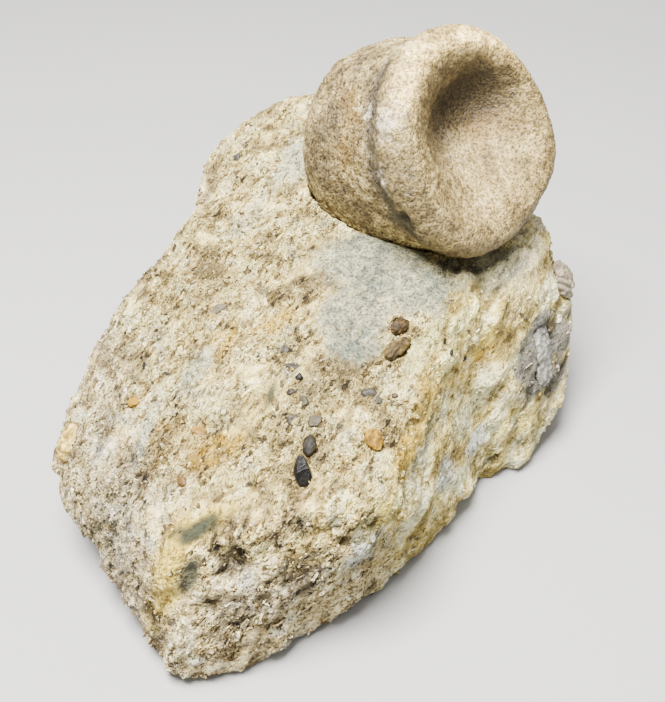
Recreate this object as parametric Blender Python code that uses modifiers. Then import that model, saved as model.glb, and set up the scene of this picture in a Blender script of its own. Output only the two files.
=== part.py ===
"""A fossil reptile vertebra that stands out of the block of shelly rock it was found in.

The block rests on its flat underside at Z = 0. +X points to the block's right, +Y to its back and +Z up.
The vertebra lies in the top of the block, and its hollow end, the cup, looks out over the near right side.
Pebbles, nodules and a shell stick out of the rock, each in a pocket of its own.
Lengths below are in millimetres, and mm() turns them into Blender's metres.
"""

import math

import bmesh
import bpy
from mathutils import Matrix, Vector, noise

MM = 0.001
POCKET_GAP = 0.35  # between a piece and the pocket in the rock that holds it

# Vertebra: one turned bone, hollow at the cup and domed at the far end.
RIM_RADIUS = 36.5
CUP_CENTRE = (46.6, 23.4, 111.4)  # in the middle of the cup, level with the crest of its rim
CUP_TURN_DEG = 45.0  # in plan, from the near side towards the right
CUP_TILT_DEG = 28.0  # how far the cup looks up
CUP_OFFSET = (1.5, 4.5)  # the deepest point lies above the middle of the cup
# The broken base of the neural arch, on top of the body: its swelling and two feet, as shares of the radius
ARCH_BASE, ARCH_BASE_HALF_DEG = 0.05, 75
ARCH_FOOT, ARCH_FOOT_HALF_DEG = 0.035, 18
ARCH_FEET_DEG = (68, 112)  # the floor of the neural canal lies between the feet
ARCH_MIDDLE, ARCH_HALF_LENGTH = 0.98, 0.55  # behind the rim
RIM_CREVICE = 2.2  # the rock has weathered back from under the rim by this much more
BONE_STEPS = 40
BONE_LUMP, BONE_LUMP_SIZE = 0.7, 13.0
# (distance behind the rim's crest, radius) as shares of the rim's radius, from the cup's floor to the dome
BONE_PROFILE = (
    (0.375, 0.00), (0.365, 0.11), (0.33, 0.23), (0.265, 0.35), (0.185, 0.46), (0.115, 0.56), (0.055, 0.66),
    (0.015, 0.75), (0.005, 0.83), (0.04, 0.91), (0.11, 0.97), (0.20, 1.00), (0.31, 0.985), (0.42, 0.945),
    (0.54, 0.92), (0.68, 0.925), (0.84, 0.94), (1.00, 0.945), (1.17, 0.93), (1.34, 0.88), (1.49, 0.79),
    (1.61, 0.66), (1.70, 0.49), (1.75, 0.28), (1.765, 0.00),
)
CREST_SHARE = 0.83  # the radius of the rim's crest in that profile
CUP_DEPTH_SHARE = 0.40  # nothing outside the cup lies inside the crest and nearer than this
# The rim's radius every 30 degrees, from the cup's right side anticlockwise, as a share of RIM_RADIUS
RIM_OUTLINE = (0.99, 0.96, 0.975, 1.00, 1.03, 1.01, 1.005, 1.00, 1.01, 0.975, 0.99, 1.08)
OUTLINE_FADES = 1.6  # this far behind the rim the bone is round again

# The rock: corners of its main block, of the shoulder behind the bone and of the swelling on the right
MAIN_BLOCK = (
    (-42, -90, -4), (-20, -82, -4), (3, -68, -4), (20, -54, -4), (38, -28, -4), (48, -10, -4),
    (50, 44, -4), (58, 60, -4), (44, 70, -4), (-20, 70, -4), (-44, 50, -4), (-56, 28, -4), (-70, -14, -4),
    (-62, -54, -4),
    (-41, -98, 4), (-24, -92, 5), (-6, -80, 6), (6, -72, 8), (22, -57, 8), (43, -28, 8), (52, -10, 8),
    (-54, -84, 7), (-67, -68, 14), (-80, -49, 20), (-88, -36, 30), (-86, -29, 38), (-84, -23, 45),
    (-50, -85, 36), (-46, -86, 42), (-22, -83, 50), (5, -78, 53), (15, -74, 48), (24, -58, 36),
    (-73, -7, 58), (-61, 11, 68), (-46, 38, 77), (-24, -42, 63), (-10, -9, 75), (5, 9, 81),
    (19, -56, 60), (24, -38, 66), (33, -8, 73), (46, 4, 70), (-11, 44, 89), (50, 40, 70), (30, 74, 72),
    (-52, 46, 20), (-48, 50, 58), (52, 66, 30), (48, 68, 62),
)
BACK_SHOULDER = (
    (-48, 54, 74), (-45, 59, 81), (-40, 68, 86), (-33, 77, 90), (-20, 83, 95), (-9, 84, 98),
    (12, 84, 94), (34, 78, 84), (48, 66, 74), (-46, 46, 30), (-42, 58, 8), (-24, 76, -4), (8, 82, -4),
    (38, 76, -4), (60, 62, 26), (10, 40, 88), (-20, 40, 84), (-38, 76, 40), (-24, 86, 12), (8, 91, 14),
)
RIGHT_SWELLING = (
    (52, -12, -4), (62, -6, -4), (54, -14, 6), (64, -9, 6), (71, -3, 8), (77, 7, 12), (82, 15, 20),
    (84, 22, 28), (85, 33, 42), (83, 36, 48), (77, 36, 57), (73, 40, 63), (70, 48, 70), (54, 4, 66),
    (58, -8, 40), (57, -12, 15), (68, 50, -4), (60, 68, 10), (52, 66, 68), (36, 30, 74), (30, 20, -4),
    (76, 46, 6), (44, -6, 60), (46, -14, 30),
)
ROCK_VOXEL = 2.3
ROCK_SMOOTHING = 12
ROCK_SWELL = 0.9  # makes up for what the smoothing takes off the corners
ROCK_FACES_KEPT = 0.145

# Relief of the rock: (size, height) of its broad and small lumps, and its beds, which lie on edge
ROCK_LUMPS = ((34.0, 1.8), (13.0, 1.3), (7.0, 0.7))
BED_NORMAL = Vector((0.82, -0.36, -0.45)).normalized()
BED_SPACING = 12.0
BED_WARP, BED_WARP_SIZE = 1.6, 30.0  # how many beds they wander, over what distance
BED_HEIGHT = 1.5  # on the sides; they are worn away on top
# Hollows and knobs: (place on the surface, radius, depth); a knob's depth is negative
HOLLOWS = (
    ((-27, -82, 40), 10.5, 5.0), ((-31, -80, 47), 6.0, 2.5), ((-16, -83, 46), 6.8, 2.5),
    ((-44, -86, 30), 7.5, 2.0), ((20, -60, 50), 8.2, 2.2), ((2, -76, 44), 7.5, 2.0),
    ((50, -8, 20), 9.0, 2.0), ((44, -14, 44), 10.5, 1.6), ((62, -2, 46), 12.0, 1.8), ((72, 8, 22), 9.0, 1.8),
    ((-84, -36, 24), 6.8, 1.6), ((-64, -66, 30), 9.0, 1.8), ((-52, 40, 40), 13.5, 2.5),
    ((0, 88, 60), 16.5, 3.0), ((-28, 84, 40), 12.0, 2.5), ((30, 80, 30), 13.5, 2.5),
    ((70, 52, 30), 12.0, 2.0), ((-70, 14, 20), 12.0, 2.2),
    ((-40, -80, 14), 6.8, -1.6), ((6, -72, 12), 6.0, -1.8), ((-70, -58, 22), 6.0, -1.5),
    ((28, -52, 30), 7.5, -1.5), ((-58, 62, 70), 9.0, -1.5), ((12, -66, 40), 6.8, -1.6),
)

# Pieces set in the rock: name, place, (length, width, thickness), run of the length, share that stands out
CLASTS = (
    ("black_tooth", (-8.0, -67.0, 60.0), (9.0, 5.6, 5.0), (0.1, -0.9, -0.4), 0.42),
    ("dark_pebble", (-6.2, -59.5, 62.0), (6.6, 4.0, 4.0), (-0.1, -0.9, -0.4), 0.34),
    ("brown_nodule", (19.5, -27.0, 70.0), (11.0, 4.8, 4.6), (0.75, 0.62, 0.2), 0.36),
    ("small_brown_nodule", (20.6, -20.0, 72.0), (6.6, 4.8, 4.2), (0.6, 0.7, 0.2), 0.36),
    ("ochre_nodule", (12.0, -57.0, 62.0), (8.0, 5.0, 4.0), (0.2, -0.9, -0.4), 0.30),
    ("buff_clast", (-80.0, -34.0, 36.0), (14.0, 11.0, 8.0), (-0.2, -0.5, -0.8), 0.22),
    ("bone_plate", (73.0, 8.0, 40.0), (24.0, 12.5, 5.0), (0.25, 0.4, 0.9), 0.26),
    ("ribbed_shell", (80.0, 33.0, 50.0), (14.0, 10.0, 6.0), (0.1, 0.2, 0.95), 0.45),
)
CLAST_COLOURS = {
    "black_tooth": (0.02, 0.02, 0.022), "dark_pebble": (0.09, 0.08, 0.075),
    "brown_nodule": (0.22, 0.12, 0.045), "small_brown_nodule": (0.26, 0.14, 0.06),
    "ochre_nodule": (0.55, 0.30, 0.09), "buff_clast": (0.50, 0.36, 0.24),
    "bone_plate": (0.30, 0.29, 0.28), "ribbed_shell": (0.52, 0.47, 0.40),
}
CLAST_UNEVEN = 0.22
SHELL_RIBS = 3.5  # ribs on each side of its middle line
SHELL_RIB_HEIGHT = 0.55


def mm(*values):
    """One length, or a point, given in millimetres."""
    return values[0] * MM if len(values) == 1 else Vector(values) * MM


def clear_scene():
    for obj in list(bpy.data.objects):
        bpy.data.objects.remove(obj)


def collection(name):
    made = bpy.data.collections.new(name)
    bpy.context.scene.collection.children.link(made)
    return made


def material(name, colour, roughness):
    """A plain Principled finish; colour is linear red, green and blue."""
    made = bpy.data.materials.new(name)
    made.use_nodes = True
    shader = made.node_tree.nodes["Principled BSDF"]
    shader.inputs["Base Color"].default_value = (*colour, 1.0)
    shader.inputs["Roughness"].default_value = roughness
    shader.inputs["Metallic"].default_value = 0.0
    return made


def object_from(bm, name, group, finish=None):
    """Turns a bmesh into an object, in that collection and with that material."""
    mesh = bpy.data.meshes.new(name)
    bm.to_mesh(mesh)
    bm.free()
    obj = bpy.data.objects.new(name, mesh)
    group.objects.link(obj)
    if finish:
        mesh.materials.append(finish)
    return obj


def apply_modifiers(obj):
    """Bakes the modifiers into the object's mesh."""
    bpy.context.view_layer.update()
    evaluated = obj.evaluated_get(bpy.context.evaluated_depsgraph_get())
    mesh = bpy.data.meshes.new_from_object(evaluated)
    obj.modifiers.clear()
    obj.data = mesh


def move_along_normals(mesh, height):
    """Moves every vertex along its normal by height(place, normal), in metres."""
    normals = [normal.vector.copy() for normal in mesh.vertex_normals]
    moves = [height(vertex.co, normal) for vertex, normal in zip(mesh.vertices, normals)]
    for vertex, normal, move in zip(mesh.vertices, normals, moves):
        vertex.co += normal * move
    mesh.update()


def lumps(place, size, height, seed):
    """Soft noise at that place; size and height are in millimetres, the result in metres."""
    shift = Vector((seed, -seed, 2 * seed))
    return noise.noise(place / mm(size) + shift) * mm(height)


def cut_pocket(rock, piece_cutter):
    """Cuts the cutter's shape out of the rock; the cutter is no piece itself."""
    piece_cutter.hide_render = True
    piece_cutter.display_type = "WIRE"
    cut = rock.modifiers.new("Pocket", "BOOLEAN")
    cut.operation = "DIFFERENCE"
    cut.object = piece_cutter


# ---------------------------------------------------------------- vertebra

def bone_frame():
    """The bone's own frame: its Z looks out of the cup, X runs level to the cup's right and Y up its face."""
    turn, tilt = math.radians(CUP_TURN_DEG), math.radians(CUP_TILT_DEG)
    out = Vector((math.sin(turn) * math.cos(tilt), -math.cos(turn) * math.cos(tilt), math.sin(tilt)))
    side = Vector((0, 0, 1)).cross(out).normalized()
    up = out.cross(side)
    frame = Matrix((side, up, out)).transposed().to_4x4()
    frame.translation = mm(*CUP_CENTRE)
    return frame


def rim_share(angle):
    """The rim's radius in that direction, eased between the twelve measured ones."""
    place = (angle / math.tau % 1.0) * len(RIM_OUTLINE)
    step = int(place)
    ease = (1 - math.cos(math.pi * (place - step))) / 2
    here, after = RIM_OUTLINE[step], RIM_OUTLINE[(step + 1) % len(RIM_OUTLINE)]
    return here + (after - here) * ease


def hump(value, middle, half_width):
    """A smooth rise from 0 to 1 and back around the middle."""
    apart = abs(value - middle) / half_width
    return 0.0 if apart >= 1 else (1 + math.cos(math.pi * apart)) / 2


def bone_mesh(name, group, finish=None):
    """The bone, turned from its profile and then pressed out of round."""
    bm = bmesh.new()
    points = [bm.verts.new(mm(RIM_RADIUS * r, 0, -RIM_RADIUS * s)) for s, r in BONE_PROFILE]
    for a, b in zip(points, points[1:]):
        bm.edges.new((a, b))
    obj = object_from(bm, name, group, finish)
    screw = obj.modifiers.new("Turn", "SCREW")
    screw.axis = "Z"
    screw.angle = math.tau
    screw.steps = screw.render_steps = BONE_STEPS
    screw.use_merge_vertices = True
    screw.merge_threshold = 0.00005
    apply_modifiers(obj)
    for vertex in obj.data.vertices:
        vertex.co = pressed(vertex.co)
    obj.data.update()
    move_along_normals(obj.data, lambda place, out: lumps(place, BONE_LUMP_SIZE, BONE_LUMP, 3.1))
    obj.matrix_world = bone_frame()
    return obj


def pressed(place):
    """Where a point of the turned bone really lies: uneven rim, arch base on top and an off-centre cup."""
    radius = mm(RIM_RADIUS)
    behind = -place.z / radius
    angle = math.atan2(place.y, place.x)
    outward = math.hypot(place.x, place.y)
    share = 1 + (rim_share(angle) - 1) * max(0.0, 1 - behind / OUTLINE_FADES)
    turned = math.degrees(angle)
    arch = ARCH_BASE * hump(turned, 90, ARCH_BASE_HALF_DEG)
    arch += sum(ARCH_FOOT * hump(turned, foot, ARCH_FOOT_HALF_DEG) for foot in ARCH_FEET_DEG)
    share += arch * hump(behind, ARCH_MIDDLE, ARCH_HALF_LENGTH)
    moved = Vector((place.x * share, place.y * share, place.z))
    crest = CREST_SHARE * radius
    if behind < CUP_DEPTH_SHARE and outward < crest:
        moved += mm(*CUP_OFFSET, 0) * (1 - (outward / crest) ** 2)
    return moved


def bone_cutter(group):
    """The bone's pocket, wider around the rim, where the rock has weathered back."""
    obj = bone_mesh("vertebra_pocket", group)
    move_along_normals(obj.data, lambda place, out: mm(POCKET_GAP) + mm(RIM_CREVICE) * near_rim(place))
    return obj


def near_rim(place):
    """1 around the rim, falling to 0 at the bone's waist."""
    return hump(-place.z / mm(RIM_RADIUS), 0.1, 0.6)


# ---------------------------------------------------------------- rock

def add_hull(bm, corners):
    verts = [bm.verts.new(mm(*corner)) for corner in corners]
    made = bmesh.ops.convex_hull(bm, input=verts)
    spare = {e for e in made["geom_interior"] + made["geom_unused"] if isinstance(e, bmesh.types.BMVert)}
    bmesh.ops.delete(bm, geom=list(spare), context="VERTS")


def rock_relief(place, out):
    """Lumps, edges of the beds, hollows and knobs at that place on the rock's skin."""
    height = sum(lumps(place, size, rise, 1.7) for size, rise in ROCK_LUMPS)
    warp = noise.noise(place / mm(BED_WARP_SIZE)) * BED_WARP
    across_bed = (place.dot(BED_NORMAL) / mm(BED_SPACING) + warp) % 1.0
    on_side = 1 - max(0.0, out.z)
    height += mm(BED_HEIGHT) * on_side * (hump(across_bed, 0.5, 0.5) - 0.5)
    for spot, radius, depth in HOLLOWS:
        height -= mm(depth) * hump((place - mm(*spot)).length, 0.0, mm(radius))
    return height


def rock_mesh(name, group, finish):
    bm = bmesh.new()
    for corners in (MAIN_BLOCK, BACK_SHOULDER, RIGHT_SWELLING):
        add_hull(bm, corners)
    bmesh.ops.recalc_face_normals(bm, faces=bm.faces)
    obj = object_from(bm, name, group, finish)
    remesh = obj.modifiers.new("One skin", "REMESH")
    remesh.mode = "VOXEL"
    remesh.voxel_size = mm(ROCK_VOXEL)
    smooth = obj.modifiers.new("Worn edges", "SMOOTH")
    smooth.factor = 0.5
    smooth.iterations = ROCK_SMOOTHING
    apply_modifiers(obj)
    move_along_normals(obj.data, lambda place, out: mm(ROCK_SWELL))
    move_along_normals(obj.data, rock_relief)
    decimate = obj.modifiers.new("Fewer faces", "DECIMATE")
    decimate.ratio = ROCK_FACES_KEPT
    decimate.use_collapse_triangulate = True
    apply_modifiers(obj)
    cut_flat_underside(obj)
    return obj


def cut_flat_underside(obj):
    bm = bmesh.new()
    bm.from_mesh(obj.data)
    bmesh.ops.bisect_plane(bm, geom=bm.verts[:] + bm.edges[:] + bm.faces[:], dist=1e-7, plane_co=(0, 0, 0),
                           plane_no=(0, 0, 1), clear_inner=True)
    rim = [e for e in bm.edges if e.is_boundary]
    bmesh.ops.edgeloop_fill(bm, edges=rim)
    bmesh.ops.recalc_face_normals(bm, faces=bm.faces)
    bm.to_mesh(obj.data)
    bm.free()


# ---------------------------------------------------------------- pieces set in the rock

def clast_frame(rock, place, size, run, share_out):
    """Lays a piece flat on the rock's skin, its length along run, sunk until only share_out stands out."""
    found, spot, out, face = rock.closest_point_on_mesh(mm(*place))
    along = Vector(run)
    along = (along - out * along.dot(out)).normalized()
    frame = Matrix((along, out.cross(along), out)).transposed().to_4x4()
    frame.translation = spot - out * mm(size[2]) * (0.5 - share_out)
    return frame


def clast_mesh(name, group, size, frame, finish=None):
    """A worn pebble of that size; the shell also carries ribs that fan out along its length."""
    bm = bmesh.new()
    ribbed = name.startswith("ribbed_shell")
    bmesh.ops.create_icosphere(bm, subdivisions=3 if ribbed else 2, radius=0.5)
    obj = object_from(bm, name, group, finish)
    shift = Vector((sum(size), 0, sum(size)))
    for vertex in obj.data.vertices:
        place = vertex.co.copy()
        swell = 1 + CLAST_UNEVEN * noise.noise(place * 2 + shift)
        vertex.co = mm(place.x * size[0], place.y * size[1], place.z * size[2]) * swell
        if ribbed and place.z > 0:
            fan = math.atan2(place.y, place.x + 0.7) / math.radians(70)
            vertex.co.z += mm(SHELL_RIB_HEIGHT) * math.cos(math.tau * SHELL_RIBS * fan)
    obj.data.update()
    obj.matrix_world = frame
    return obj


def set_clasts(rock, fossil, cutters):
    placed = [(clast, clast_frame(rock, *clast[1:])) for clast in CLASTS]
    for (name, place, size, run, share_out), frame in placed:
        finish = material(name, CLAST_COLOURS[name], 0.75)
        clast_mesh(name, fossil, size, frame, finish)
        cutter = clast_mesh(name + "_pocket", cutters, size, frame)
        move_along_normals(cutter.data, lambda place, out: mm(POCKET_GAP))
        cut_pocket(rock, cutter)


def main():
    clear_scene()
    fossil = collection("fossil_vertebra")
    cutters = collection("cutters")
    bone_mesh("vertebra", fossil, material("bone", (0.36, 0.27, 0.18), 0.7))
    rock = rock_mesh("matrix_block", fossil, material("rock", (0.55, 0.47, 0.34), 0.9))
    set_clasts(rock, fossil, cutters)
    cut_pocket(rock, bone_cutter(cutters))


main()
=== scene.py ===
"""A fossil reptile vertebra in its block of shelly rock: the finish of every surface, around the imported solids.

Lengths are in millimetres where a name or a comment doesn't say otherwise, and MM turns them into metres.
"""

import math

import bmesh
import bpy
import numpy as np
from mathutils import Matrix, Vector, noise
from mathutils.bvhtree import BVHTree


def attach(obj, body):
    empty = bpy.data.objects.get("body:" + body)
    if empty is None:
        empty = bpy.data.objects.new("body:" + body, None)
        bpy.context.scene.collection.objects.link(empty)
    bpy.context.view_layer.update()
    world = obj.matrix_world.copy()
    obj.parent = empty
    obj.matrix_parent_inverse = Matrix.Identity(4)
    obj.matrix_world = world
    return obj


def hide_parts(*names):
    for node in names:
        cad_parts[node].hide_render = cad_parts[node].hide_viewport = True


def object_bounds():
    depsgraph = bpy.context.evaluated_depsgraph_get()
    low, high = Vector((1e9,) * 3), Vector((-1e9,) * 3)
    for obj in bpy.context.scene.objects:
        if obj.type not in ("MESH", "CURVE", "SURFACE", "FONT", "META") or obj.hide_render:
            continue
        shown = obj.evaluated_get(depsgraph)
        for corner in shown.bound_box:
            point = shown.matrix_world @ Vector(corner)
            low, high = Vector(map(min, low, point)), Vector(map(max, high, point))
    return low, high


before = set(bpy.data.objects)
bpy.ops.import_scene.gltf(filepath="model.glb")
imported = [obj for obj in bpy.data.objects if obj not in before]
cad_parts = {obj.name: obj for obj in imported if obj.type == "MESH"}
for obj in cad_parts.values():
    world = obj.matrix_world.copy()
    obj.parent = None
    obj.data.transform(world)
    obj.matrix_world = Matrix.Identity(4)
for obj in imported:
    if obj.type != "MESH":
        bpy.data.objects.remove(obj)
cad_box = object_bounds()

MM = 0.001


# ---------------------------------------------------------------- matrix block
# The block is shelly phosphate rock: sand, broken shell and pebbles of a shallow sea floor, set hard by lime.
# It was broken out of its bed, so most sides are rough and crumbly. The bed on the right is finer and clayey,
# weathered smooth in ridges, and a patch of pale chalky mud fills the corner below the vertebra.

ROCK_GRID = 1.05
ROCK_RUBBING = 5
BED_NORMAL = Vector((0.82, -0.36, -0.45)).normalized()
BED_LENGTH, BED_THICKNESS = 28.0, 4.6  # how far a ridge runs, and from one ridge to the next
# The clayey bed starts past this line across the block: x at y = 0, and its change with y
CLAY_EDGE, CLAY_SLANT = 35.5, 0.30
CHALK_LOBES = (((13, 4, 77), (20, 19, 14)), ((7, -16, 72), (12, 21, 12)), ((26, -4, 76), (13, 13, 10)))
CHALK_BLUE, CHALK_CREAM = "#5f6567", "#a6a496"
ROCK_TONES = ((-0.60, "#7a6c4e"), (-0.25, "#b9a981"), (0.05, "#ecdaa2"), (0.35, "#fdf3cc"), (0.65, "#c8c4b2"))
CLAY_TONES = ((-0.55, "#8b7c48"), (-0.20, "#c0ab60"), (0.05, "#e6d68c"), (0.30, "#f6eeba"), (0.60, "#cdcfa8"))
# The top has weathered yellow: how it rises to the back, the heights at y = 0 where that starts and is whole, and
# what it leaves of the rock's red, green and blue
TOP_SLOPE, WEATHERED, WEATHERING = 0.27, (58, 70), np.array((1.0, 0.96, 0.70))
# The front is coarser: how far forward (-y) and how far across (x) that starts and is whole
COARSE_FRONT, COARSE_FROM_LEFT = (64, 78), (-66, -48)
# The sizes of its broken bits, of the crests and crumbs on them and of the swells under them, and the cracks' depth
BIT_SIZE, CREST_SIZE, CRUMB_SIZE, SWELL_SIZE, BIT_CRACK = 5.0, 3.4, 2.6, 12.0, 0.45
# The flakes on the sides and the ledges they make: how far each runs, and from one to the next
FLAKE, LEDGE = (8.0, 2.8), (22.0, 8.0)
# The broken shell that the material draws: its size on top and in the front, and how deep its bump is
FINE_SHELL, COARSE_SHELL, SHELL_RELIEF = 1.25, 2.2, 1.4
CHALK_GRAIN = 0.8
# Painted shade and dirt: in the shell relief's gaps, on its low ground and in the rock's hollows
GAP_SHADE_AND_DIRT, LOW_SHADE_AND_DIRT, HOLLOW_SHADE_AND_DIRT = "#332e29", "#70685a", "#75664f"
# Holes where pebbles fell out and soft layers washed away, and knobs that stand out: middle, radius and depth
HOLES = (
    (-28, -86, 43, 7.0, 1.7), (-31, -84, 46, 2.4, 1.5), (-25, -84, 44, 2.2, 1.6), (-28, -88, 39, 2.6, 1.4),
    (-28, -79, 50, 2.8, 1.2), (-14, -80, 50, 3.0, 1.2), (-19, -90, 29, 4.5, 1.2), (-34, -90, 30, 4.0, 1.2),
    (-52, -87, 20, 5.5, 1.8), (3, -80, 44, 3.5, 1.3), (-8, -87, 28, 4.0, 1.4), (20, -62, 46, 3.5, 1.2),
    (-9, -79, 49, 4.4, 2.4), (-3, -77, 54, 6.0, -1.9), (8, -78, 38, 7.0, -1.4), (-7, -83, 44, 4.0, -1.1),
    (-42, -82, 44, 5.0, -1.0), (0, -77, 15, 7.0, -1.2), (-36, -92, 24, 5.0, -1.0), (38, 6, 75, 5.5, 1.4),
    (46, 12, 72, 5.0, 1.2), (55, -15, 10, 3.0, 2.0), (-66, -66, 24, 4.0, 1.4), (-18, 84, 50, 6.0, 2.2),
    (30, 76, 30, 5.0, 2.0), (-74, 0, 36, 6.0, 2.0), (-62, 22, 24, 4.5, 1.8),
)
# The other muds and crusts in the block, and a grime that is partly painted shade: colour, how much of it shows, and
# how smooth it is
MUDS = {
    "white lime": ("#f0e6c6", 0.80, 0.2), "cream lime": ("#e6d49a", 0.75, 0.3),
    "yellow mud": ("#d2ab1e", 0.75, 0.1), "pale mud": ("#c6ae4e", 0.90, 0.4),
    "ochre": ("#8f6f10", 0.60, 0.0), "golden crust": ("#c2a238", 0.70, 0.2),
    "brown crust": ("#7a6026", 0.75, 0.0), "olive mud": ("#a99c48", 0.75, 0.2),
    "green mud": ("#d0cfa2", 0.85, 0.4), "white mud": ("#c2c8c2", 0.85, 0.3),
    "slate clay": ("#34382f", 0.95, 0.6), "grey grit": ("#857b68", 0.60, 0.0),
    "mauve grit": ("#7b7068", 0.65, 0.0), "sandy grit": ("#a3906a", 0.50, 0.0),
    "grey silt": ("#85857a", 0.85, 0.4), "bone dust": ("#6b6960", 0.95, 0.4),
    "grime_and_shade": ("#4e463a", 0.70, 0.0),
}
MUDDY = 0.3  # a mud as smooth as this covers every bit of the rock, and a grit only some
# Where they show: the middle and the half sizes, each along x, y and z
STAINS = (
    ("sandy grit", -45, -4, 70, 16, 20, 8), ("grey grit", -6, -45, 65, 13, 14, 6),
    ("grey grit", -4, -58, 60, 10, 12, 6), ("grey grit", -13, -30, 69, 9, 12, 6),
    ("white lime", -24, -11, 72, 6, 4, 4), ("white lime", -24, -17, 70, 4, 3, 3),
    ("yellow mud", -19, -17, 72, 10, 4, 4), ("yellow mud", -35, -20, 66, 8, 6, 5),
    ("white mud", -41, -28, 62, 5, 11, 5), ("white lime", -34, -39, 62, 5, 5, 4),
    ("cream lime", -22, -45, 62, 9, 8, 5), ("slate clay", -18, -43, 64, 3, 5, 4), ("ochre", -39, -49, 57, 7, 5, 4),
    ("ochre", -50, -48, 54, 6, 6, 4), ("yellow mud", -33, -56, 56, 9, 6, 5), ("ochre", -41, -54, 54, 6, 5, 4),
    ("mauve grit", -44, -38, 59, 6, 6, 4), ("mauve grit", -31, -46, 59, 5, 5, 4), ("ochre", -43, -63, 50, 6, 5, 4),
    ("ochre", -51, -55, 50, 5, 6, 5), ("grey grit", -68, -39, 50, 5, 12, 10), ("white mud", -55, -46, 53, 3, 11, 6),
    # The first grey grit on this line is painted shade on the block's lower left side
    ("grey grit", -64, -62, 34, 20, 20, 24), ("grey grit", 11, -42, 65, 8, 7, 5),
    ("white lime", -42, -66, 49, 5, 4, 4), ("pale mud", -36, -78, 49, 10, 6, 5), ("pale mud", -44, -84, 42, 9, 8, 9),
    ("pale mud", -47, -88, 29, 11, 8, 14), ("slate clay", -37, -79, 48, 9, 4, 4),
    ("slate clay", -39, -87, 40, 5, 5, 9), ("cream lime", -42, -92, 25, 8, 5, 8), ("grime_and_shade", -28, -85, 43, 8, 6, 6),
    ("mauve grit", -28, -80, 49, 6, 4, 4), ("mauve grit", -13, -80, 49, 8, 4, 5),
    ("grey grit", -19, -90, 29, 10, 4, 7), ("mauve grit", -10, -87, 30, 7, 5, 7),
    ("mauve grit", -27, -91, 26, 7, 5, 6), ("cream lime", -4, -78, 51, 4, 5, 8),
    ("brown crust", -1, -72, 55, 5, 4, 4), ("white mud", 8, -78, 38, 7, 6, 9), ("cream lime", 0, -77, 15, 10, 8, 9),
    ("olive mud", 13, -75, 44, 6, 6, 11), ("grime_and_shade", -50, -91, 18, 7, 5, 8), ("green mud", 30, -21, 70, 5, 6, 4),
    ("green mud", 24, -29, 67, 6, 7, 5), ("pale mud", 49, -6, 54, 6, 5, 5), ("brown crust", 51, -7, 49, 5, 5, 6),
    ("brown crust", 58, 2, 56, 5, 6, 6), ("green mud", 36, -25, 60, 5, 6, 5), ("golden crust", 43, -12, 51, 5, 8, 6),
    ("golden crust", 28, -37, 61, 6, 8, 7), ("golden crust", 36, -25, 53, 6, 9, 7),
    ("green mud", 48, -12, 38, 9, 8, 8), ("green mud", 41, -23, 36, 8, 8, 7), ("golden crust", 24, -48, 53, 6, 8, 9),
    ("yellow mud", 21, -57, 53, 6, 7, 8), ("olive mud", 60, -11, 23, 8, 7, 9), ("olive mud", 70, -4, 18, 7, 6, 9),
    ("white mud", 47, -18, 22, 5, 5, 5), ("white mud", 35, -41, 29, 6, 6, 8), ("brown crust", 38, -33, 30, 3, 5, 8),
    ("olive mud", 49, -19, 14, 8, 7, 7), ("cream lime", 66, -4, 30, 6, 6, 5), ("cream lime", 74, 3, 21, 5, 5, 5),
    # The white lime at the end of this line is painted light that lifts the shade the bone casts on the rock
    ("grime_and_shade", 35, -20, 67, 5, 6, 4), ("cream lime", 64, 20, 62, 12, 12, 10), ("white lime", 65, 36, 65, 14, 16, 14),
    ("slate clay", -38, -79, 47, 7, 3, 3), ("bone dust", 66, 4, 42, 8, 8, 9), ("bone dust", 70, 14, 46, 7, 8, 7),
    ("bone dust", 79, 19, 34, 7, 10, 11), ("bone dust", 77, 10, 26, 8, 8, 9), ("bone dust", 74, 8, 40, 16, 15, 20),
    # The grime at the start of this line is a painted shadow under a ledge on the front
    ("grime_and_shade", -9, -79, 49, 6, 4, 4), ("mauve grit", -62, -76, 18, 18, 16, 18), ("grey silt", 40, 6, 74, 15, 12, 9),
    ("grey silt", 54, 14, 70, 14, 12, 9), ("bone dust", 68, 0, 38, 8, 8, 14), ("white mud", -11, 48, 89, 13, 15, 8),
    ("sandy grit", 20, 60, 90, 30, 25, 12), ("grey grit", -20, 88, 40, 40, 14, 30),
    ("ochre", 30, 80, 60, 22, 16, 16),
)


def in_scene(name, data):
    """A new object in the scene that holds that mesh, lamp or camera."""
    piece = bpy.data.objects.new(name, data)
    bpy.context.scene.collection.objects.link(piece)
    return piece


def merged_copy(node, name):
    """A copy of that CAD node as a new object, with its loose triangles joined up."""
    bm = bmesh.new()
    bm.from_mesh(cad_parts[node].data)
    bmesh.ops.remove_doubles(bm, verts=bm.verts, dist=0.01 * MM)
    mesh = bpy.data.meshes.new(name)
    bm.to_mesh(mesh)
    bm.free()
    return in_scene(name, mesh)


def even_skin(piece, grid, rubbing):
    """Gives the piece small even faces of that size and rubs off the flats between the old ones."""
    remesh = piece.modifiers.new("Even faces", "REMESH")
    remesh.mode = "VOXEL"
    remesh.voxel_size = grid * MM
    smooth = piece.modifiers.new("Rubbed", "SMOOTH")
    smooth.factor = 0.5
    smooth.iterations = rubbing
    shaped = piece.evaluated_get(bpy.context.evaluated_depsgraph_get())
    mesh = bpy.data.meshes.new_from_object(shaped)
    piece.modifiers.clear()
    piece.data = mesh
    mesh.shade_smooth()


def points_of(mesh):
    """The mesh's vertices, in millimetres."""
    flat = np.empty(len(mesh.vertices) * 3)
    mesh.vertices.foreach_get("co", flat)
    return flat.reshape(-1, 3) / MM


def normals_of(mesh):
    flat = np.empty(len(mesh.vertices) * 3)
    mesh.vertex_normals.foreach_get("vector", flat)
    return flat.reshape(-1, 3)


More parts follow.
